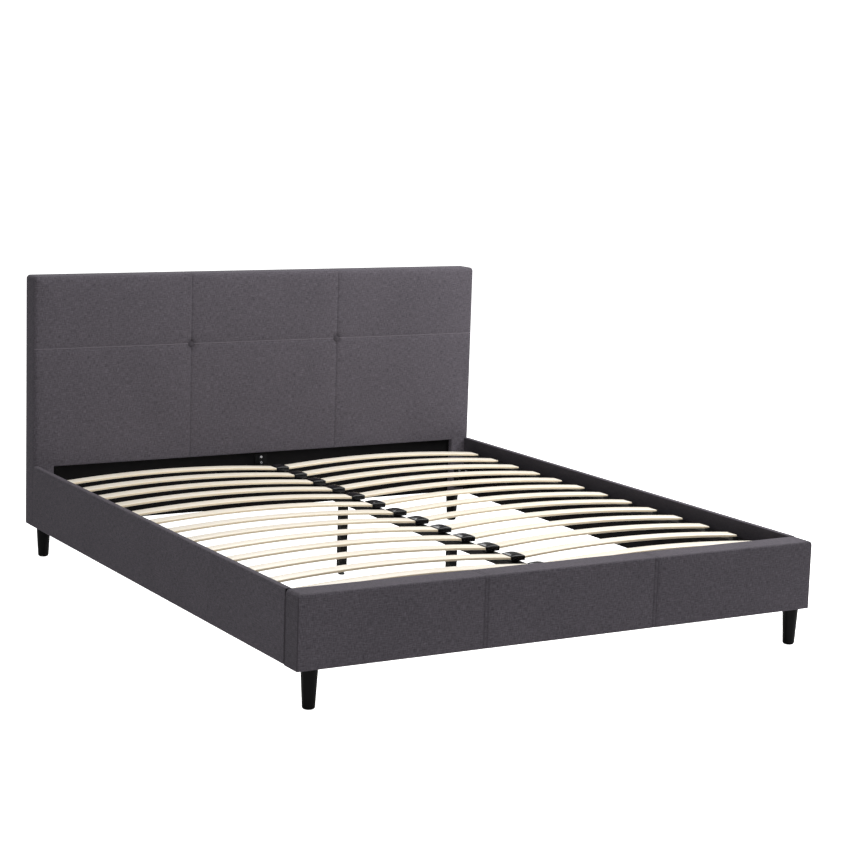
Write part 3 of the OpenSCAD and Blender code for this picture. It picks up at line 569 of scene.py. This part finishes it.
# %% Side rail covers
def rail_wrap(mirrored):
    low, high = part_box("side_cover_right")
    board_low, board_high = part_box("side_rail_right")
    x0, x1, z0, z1 = low.x, high.x, low.z, high.z
    bx0, bx1, bz0, bz1 = board_low.x, board_high.x, board_low.z, board_high.z
    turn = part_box("slat_ledger_right")[1].z
    wrap = outline_solid([(bx0, z0), (x1, z0), (x1, z1), (x0, z1), (x0, turn), (bx0, turn),
                          (bx0, bz1), (bx1, bz1), (bx1, bz0), (bx0, bz0)], low.y, high.y)
    soften(wrap, edges_at(wrap, lambda p: p.x > x1 - 1e-4 and (p.z > z1 - 1e-4 or p.z < z0 + 1e-4)), 0.005, 4)
    soften(wrap, edges_at(wrap, lambda p: p.x < x0 + 1e-4 and p.z > z1 - 1e-4), 0.003, 3)
    at_end = edges_at(wrap, lambda p: p.y < low.y + 1e-4 and p.x > x1 - 0.006 and z0 < p.z < z1 + 1)
    soften(wrap, at_end, 0.003, 3)
    slice_across(wrap, 1, low.y, high.y, 0.014, extra=[low.y + 0.0035, low.y + 0.008])
    slice_across(wrap, 2, z0, z1, 0.014)
    wrap.normal_update()
    for v in wrap.verts:
        if v.co.x > x1 - 0.002 and v.normal.x > 0.3:
            held = 1 - math.exp(-min(v.co.z - z0, z1 - v.co.z) / 0.03)
            ends = 1 - math.exp(-min(v.co.y - low.y, high.y - v.co.y) / 0.02)
            v.co.x += (0.0010 + 0.0012 * noise.noise(v.co * 4.0 + Vector((9 * mirrored, 0, 0)))) * held * ends
    # Painted shade: the inner and under faces are darkened, and a dark line is painted along the front end
    # where the rail meets the footboard.
    x_in = x0 + 0.0005
    shade = [0.75 if v.co.x < x_in or v.co.z < z1 - 0.02 and v.co.x < x1 - 0.02 else
             0.9 * bump_of(v.co.y - low.y, 0.004) for v in wrap.verts]
    if mirrored:
        bmesh.ops.scale(wrap, vec=(-1, 1, 1), verts=wrap.verts[:])
        bmesh.ops.reverse_faces(wrap, faces=wrap.faces[:])
    return wrap, shade


for side, mirrored in (("left", True), ("right", False)):
    cover, shade = rail_wrap(mirrored)
    wrap = finish_piece("side_cover_cloth_" + side, cover, cover_cloth, ["side_cover_" + side],
                        sharp=40, cloth=True)
    point_values(wrap.data, "painted_shade", shade)
    print(wrap.name, len(wrap.data.polygons), "faces")

# %% [markdown]
# ## The back lining
# A thin black lining closes the headboard's back. It is one flat sheet, folded under and stapled
# about every 60 mm, and between two staples its edge pulls in a little. The sheet lies over the
# turned cloth of the cover, so it is made a closed sheet 0.8 mm thick.

# %% Back lining
lining_low, lining_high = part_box("headboard_back_cloth")
margin, foot_margin, sheet_t, LAY_GAP, STAPLE_STEP = 0.012, 0.008, 0.0008, 0.0002, 0.060
sheet_x, sheet_z0, sheet_z1 = lining_high.x - margin, lining_low.z + foot_margin, lining_high.z - margin
lining = solid_box((-sheet_x, back + LAY_GAP, sheet_z0), (sheet_x, back + LAY_GAP + sheet_t, sheet_z1))
slice_across(lining, 0, -sheet_x, sheet_x, 0.015)
slice_across(lining, 2, sheet_z0, sheet_z1, 0.015)
for v in lining.verts:
    p = v.co.copy()
    pull = 0.0016
    if abs(abs(p.x) - sheet_x) < 1e-4:
        v.co.x -= math.copysign(pull * abs(math.sin(math.pi * p.z / STAPLE_STEP)), p.x)
    if abs(p.z - sheet_z1) < 1e-4:
        v.co.z -= pull * abs(math.sin(math.pi * p.x / STAPLE_STEP))
    from_edge = min(sheet_x - abs(p.x), sheet_z1 - p.z, p.z - sheet_z0)
    v.co.y += 0.0014 * (0.5 + 0.5 * noise.noise(p * 5.0)) * (1 - math.exp(-from_edge / 0.05))
lining_sheet = finish_piece("headboard_lining_sheet", lining, lining_cloth,
                            ["headboard_back_cloth"])
print("lining:", round(2 * sheet_x, 3), "by", round(sheet_z1 - sheet_z0, 3), "m")

# %% Staples round the lining
staples = bmesh.new()
crown, wire, lift = 0.010, 0.0007, back + LAY_GAP + sheet_t + 0.0014
FIRST_STAPLE, STAPLE_INSET = 0.030, 0.007


def staple(x, z, upright):
    """The crown of a staple, a short flat wire with rounded ends, pressed into the cloth."""
    half_x, half_z = (wire, crown / 2) if upright else (crown / 2, wire)
    one = solid_box((x - half_x, lift - 0.0016, z - half_z), (x + half_x, lift, z + half_z))
    soften(one, edges_at(one, lambda p: p.y > lift - 1e-5), 0.0003, 1)
    return one


along_top = [(-sheet_x + FIRST_STAPLE + STAPLE_STEP * k, sheet_z1 - STAPLE_INSET, False)
             for k in range(30)]
up_sides = [(side * (sheet_x - STAPLE_INSET), sheet_z0 + FIRST_STAPLE + STAPLE_STEP * k, True)
            for side in (-1, 1) for k in range(15)]
along_foot = [(x, sheet_z0 + STAPLE_INSET, False) for x, *_ in along_top]
for x, z, upright in along_top + up_sides + along_foot:
    join_into(staples, staple(x, z, upright))
finish_piece("lining_staples", staples, zinc, sharp=30)
print(len(along_top + up_sides + along_foot), "staples")

# %% [markdown]
# ## The slats
# A slat is a strip of layered birch, bent to a shallow bow in a press. One could bend it with a
# modifier, but the bow is an arc of a known radius, so each slice of a straight strip is lifted
# onto that arc. Each slat keeps its own tint, because no two veneers are alike.

# %% One slat of each row and side
def arc_of(low, high, thick):
    half = (high.x - low.x) / 2
    bow = high.z - low.z - thick
    return half, bow, (half * half + bow * bow) / (2 * bow)


SLAT_T, SLAT_EDGE, SLAT_STEP = 0.008, 0.0016, 0.022
slat_names = sorted(n for n in frame["nodes"] if n.startswith(("slat_left", "slat_right")))
for number, name in enumerate(slat_names):
    low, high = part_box(name)
    half, bow, radius = arc_of(low, high, SLAT_T)
    middle = (low.x + high.x) / 2
    strip = solid_box((low.x, low.y, 0.0), (high.x, high.y, SLAT_T))
    soften(strip, edges_at(strip, lambda p: True), SLAT_EDGE, 3)
    slice_across(strip, 0, low.x, high.x, SLAT_STEP)
    slice_across(strip, 2, 0.0, SLAT_T, SLAT_T / 2)
    strip.normal_update()
    cut = [1.0 if abs(v.normal.z) < 0.75 else 0.0 for v in strip.verts]
    depth = [v.co.z / SLAT_T for v in strip.verts]
    flat = [(v.co.x - low.x, v.co.y - low.y + v.co.z) for v in strip.verts]
    for v in strip.verts:
        reach = radius + v.co.z
        v.co.z = low.z + bow - radius + math.sqrt(reach ** 2 - (v.co.x - middle) ** 2)
    slat = finish_piece(name + "_birch", strip, birch, [name], sharp=50)
    shift = Vector((3.1 * number, 1.7 * number))
    grain = slat.data.uv_layers.new(name="grain")
    for loop in slat.data.loops:
        grain.data[loop.index].uv = Vector(flat[loop.vertex_index]) + shift
    point_values(slat.data, "cut", cut)
    point_values(slat.data, "depth", depth)
    tint = 0.97 + 0.05 * noise.noise(Vector((number * 1.37, 0.5, 0.2)))
    point_values(slat.data, "tint", [tint] * len(slat.data.vertices))
print(len(slat_names), "slats, bow", round(bow * 1000), "mm, radius", round(radius, 2), "m")

# %% [markdown]
# ## The double caps
# Each row's two slats meet in one glossy black cap, moulded in ABS. It is a low block with a
# pillowed top and an open socket at each end, on a short pedestal. The sockets are made as a
# modeller would make them: the end face is inset by the wall and pushed in. The pillow comes
# last, when the top has been sliced finely enough to lift its middle.

# %% Double caps
caps_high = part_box("center_caps")[1]
rail_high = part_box("center_rail")[1]
slat_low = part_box("slat_right_01")[0]
rows = sorted({round((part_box(n)[0].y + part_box(n)[1].y) / 2, 5) for n in slat_names}, reverse=True)
cap_x = caps_high.x
cap_y = caps_high.y - rows[0]
SLAT_GAP, SOCKET_FLOOR = 0.0003, 0.0026
cap_z0 = slat_low.z - SLAT_GAP - SOCKET_FLOOR
CAP_RISE, CAP_WALL, CAP_WEB, PEDESTAL = 0.0055, 0.0022, 0.0037, 0.013
cap_z1 = caps_high.z - 0.0042


def pushed_sockets(bm, made, wall, depth):
    """Insets each end face of a cap and pushes it in, which leaves a socket."""
    for side in (-1, 1):
        ends = [f for f in bm.faces if f.normal.x * side > 0.99 and f.calc_area() > 2e-4
                and all(v in made for v in f.verts)]
        bmesh.ops.inset_region(bm, faces=ends, thickness=wall, use_even_offset=True)
        pushed = bmesh.ops.extrude_face_region(bm, geom=ends)["geom"]
        verts = [g for g in pushed if isinstance(g, bmesh.types.BMVert)]
        bmesh.ops.translate(bm, vec=(-side * depth, 0, 0), verts=verts)
        bmesh.ops.delete(bm, geom=ends, context="FACES_ONLY")


def cap_at(y):
    cap = solid_box((-cap_x, y - cap_y, cap_z0), (cap_x, y + cap_y, cap_z1))
    soften(cap, edges_at(cap, lambda p: p.z > cap_z1 - 1e-5), 0.0028, 4)
    soften(cap, [e for e in cap.edges if abs(e.verts[0].co.z - e.verts[1].co.z) > 0.008], 0.0012, 2)
    cap.normal_update()
    pushed_sockets(cap, set(cap.verts), CAP_WALL, cap_x - CAP_WEB)
    slice_across(cap, 0, -cap_x, cap_x, 0.005)
    slice_across(cap, 1, y - cap_y, y + cap_y, 0.006)
    for v in cap.verts:
        if v.co.z > cap_z1 - 0.0015:
            v.co.z += CAP_RISE * (1 - (v.co.x / cap_x) ** 2) * (1 - ((v.co.y - y) / cap_y) ** 4)
    solid_box((-PEDESTAL, y - PEDESTAL, rail_high.z), (PEDESTAL, y + PEDESTAL, cap_z0 + 0.0005), cap)
    return cap


all_caps = bmesh.new()
for y in rows:
    join_into(all_caps, cap_at(y))
caps = finish_piece("center_cap_mouldings", all_caps, gloss_abs, ["center_caps"], sharp=40)
print(len(rows), "caps,", len(caps.data.polygons), "faces")

# %% [markdown]
# ## Legs and glides
# The four corner legs are turned from beech and lacquered, with a rounded lower edge. A lathe
# turns a profile, and spin does the same, so each leg is half of its outline spun round its own
# axis. The small feet under the centre legs are spun too, and each rides on its own body
# because it screws up and down.

# %% Turned legs
for name in ("leg_front_left", "leg_front_right", "leg_rear_left", "leg_rear_right"):
    low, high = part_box(name)
    axis_x, axis_y, height = (low.x + high.x) / 2, (low.y + high.y) / 2, high.z
    top_r, foot_r, edge_r = (high.x - low.x) / 2, 0.0195, 0.008
    lip = [(foot_r - edge_r + edge_r * math.sin(a * math.pi / 12),
            edge_r - edge_r * math.cos(a * math.pi / 12)) for a in range(7)]
    side = [(foot_r + (top_r - foot_r) * k / 8, edge_r + (height - edge_r) * k / 8) for k in range(1, 9)]
    leg, _ = spun([(0.0, 0.0)] + lip + side + [(0.0, height)], 56, (axis_x, axis_y, 0))
    finish_piece(name + "_turned", leg, lacquer, [name], sharp=40)
print("turned four legs,", round(height * 1000), "mm tall")

# %% Levelling glides
THREAD_R, THREAD_DEPTH, HALF_PITCH = 0.0040, 0.0005, 0.0008
for name, body in (("glide_head", "glide_head_foot"), ("glide_foot", "glide_foot_foot")):
    low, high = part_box(name)
    axis_x, axis_y, r = (low.x + high.x) / 2, (low.y + high.y) / 2, (high.x - low.x) / 2
    outline = [(0.0, 0.0), (r - 0.0008, 0.0), (r, 0.0008), (r, 0.0036), (r - 0.0008, 0.0044), (0.0085, 0.009),
               (0.0075, 0.0095), (0.0075, 0.0145), (0.007, 0.015), (0.004, 0.015)]
    thread = [(THREAD_R - THREAD_DEPTH * (k % 2), 0.016 + HALF_PITCH * k) for k in range(54)]
    glide, _ = spun(outline + thread + [(0.0036, high.z), (0.0, high.z)], 32, (axis_x, axis_y, 0))
    finish_piece(name + "_moulding", glide, nylon, [name], body=body, sharp=40)
print("glides are", round(high.z * 1000), "mm long")

# %% [markdown]
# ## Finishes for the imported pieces
# Boards, angles, brackets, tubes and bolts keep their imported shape, because it is already the
# real one. They only need the right finish, so each node gets the material of its record slot.

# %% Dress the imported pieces
slot_finish = {"plywood": plywood, "pine": pine, "black_board": foil, "foam": foam,
               "black_steel": powder_coat, "zinc": zinc, "black_plastic": nylon,
               "black_cap": gloss_abs, "black_lacquer": lacquer, "birch": birch,
               "fabric": cover_cloth, "lining": lining_cloth}
dressed = 0
for entry in frame["record"]["subparts"]:
    piece = frame["nodes"][entry["node"]]
    finish = slot_finish[entry["material_slot"]]
    if not piece.material_slots:
        piece.data.materials.append(finish)
    for place in piece.material_slots:
        place.material = finish
        dressed += 1
print("dressed", dressed, "material slots")

# %% [markdown]
# ## Floor, light and camera
# Furniture is shown on a white sweep under very soft light, so shadows stay faint. A broad light
# hangs overhead, a smaller key stands to the right and brightens the headboard, a front light and
# a weaker fill from the left reach the cloth, and one behind lights the back. A pale world lights
# the rest. The floor and the world are brighter to the camera than to the bed, so the sweep is
# white without washing out the slats. The camera stands at the foot end, a little to the left and
# above the rails, with a long lens as a studio would use.

# %% Floor
FLOOR_GLOW = 1.1
floor_mesh = bpy.data.meshes.new("studio_floor")
floor_bm = bmesh.new()
bmesh.ops.create_grid(floor_bm, x_segments=2, y_segments=2, size=40.0)
floor_bm.to_mesh(floor_mesh)
floor_bm.free()
floor = bpy.data.objects.new("studio_floor", floor_mesh)
bpy.context.scene.collection.objects.link(floor)
paper, tree, shader = new_finish("white_seamless_paper", 0.9, Specular_IOR_Level=0.0)
shader.inputs["Base Color"].default_value = linear("#F4F4F4")
shader.inputs["Emission Color"].default_value = linear("#FFFFFF")
seen = add(tree, "LightPath").outputs["Is Camera Ray"]
glow = add(tree, "Math", {0: seen, 1: FLOOR_GLOW}, operation="MULTIPLY")
tree.links.new(glow.outputs[0], shader.inputs["Emission Strength"])
floor_mesh.materials.append(paper)
print("floor ready")

# %% Light
def soft_light(name, place, aim, size, power, colour="#FFFFFF"):
    data = bpy.data.lights.new(name, "AREA")
    data.shape = "RECTANGLE"
    data.size, data.size_y = size
    data.energy = power
    data.color = linear(colour)[:3]
    light = bpy.data.objects.new(name, data)
    light.location = place
    light.rotation_euler = (Vector(aim) - Vector(place)).to_track_quat("-Z", "Y").to_euler()
    light.visible_camera = False
    bpy.context.scene.collection.objects.link(light)


soft_light("overhead_softbox", (0.6, -0.4, 3.9), (0.1, 0.1, 0.3), (3.6, 3.2), 112)
soft_light("key_softbox", (2.5, -0.9, 2.6), (0.7, 1.0, 0.95), (1.5, 1.5), 80)
soft_light("front_softbox", (-0.6, -6.5, 3.0), (0.0, 0.0, 0.4), (3.0, 2.0), 32)
soft_light("fill_softbox", (-4.6, -3.2, 1.9), (-0.6, 0.0, 0.3), (2.4, 2.2), 34)
soft_light("back_softbox", (0.6, 5.6, 4.0), (0.0, 0.2, 0.4), (4.0, 1.8), 80)
WORLD_LIGHT, WORLD_SEEN = 0.27, 1.2
world = bpy.data.worlds.new("studio_white")
world.use_nodes = True
sky = world.node_tree.nodes["Background"]
sky.inputs["Color"].default_value = linear("#FFFFFF")
seen = add(world.node_tree, "LightPath").outputs["Is Camera Ray"]
level = add(world.node_tree, "MapRange", {"Value": seen, "To Min": WORLD_LIGHT, "To Max": WORLD_SEEN})
world.node_tree.links.new(level.outputs[0], sky.inputs["Strength"])
bpy.context.scene.world = world
bpy.context.scene.view_settings.view_transform = "Standard"
print("five softboxes and a white world")

# %% Camera
CAMERA_PLACE, LENS_MM, SENSOR_MM = (-3.6757, -6.3580, 1.7997), 90.97, 36.0
yaw, pitch, roll = math.radians(30.395), math.radians(8.685), math.radians(1.762)
forward = Vector((math.sin(yaw) * math.cos(pitch), math.cos(yaw) * math.cos(pitch), -math.sin(pitch)))
right = forward.cross(Vector((0, 0, 1))).normalized()
up = right.cross(forward)
right, up = (right * math.cos(roll) + up * math.sin(roll), up * math.cos(roll) - right * math.sin(roll))
camera_data = bpy.data.cameras.new("studio_camera")
camera_data.sensor_width = SENSOR_MM
camera_data.lens = LENS_MM
camera_data.shift_x, camera_data.shift_y = 0.0178, -0.0228
camera = bpy.data.objects.new("studio_camera", camera_data)
turn = Matrix((right, up, -forward)).transposed().to_4x4()
camera.matrix_world = Matrix.Translation(CAMERA_PLACE) @ turn
bpy.context.scene.collection.objects.link(camera)
bpy.context.scene.camera = camera
print("camera looks from", [round(c, 2) for c in camera.location])
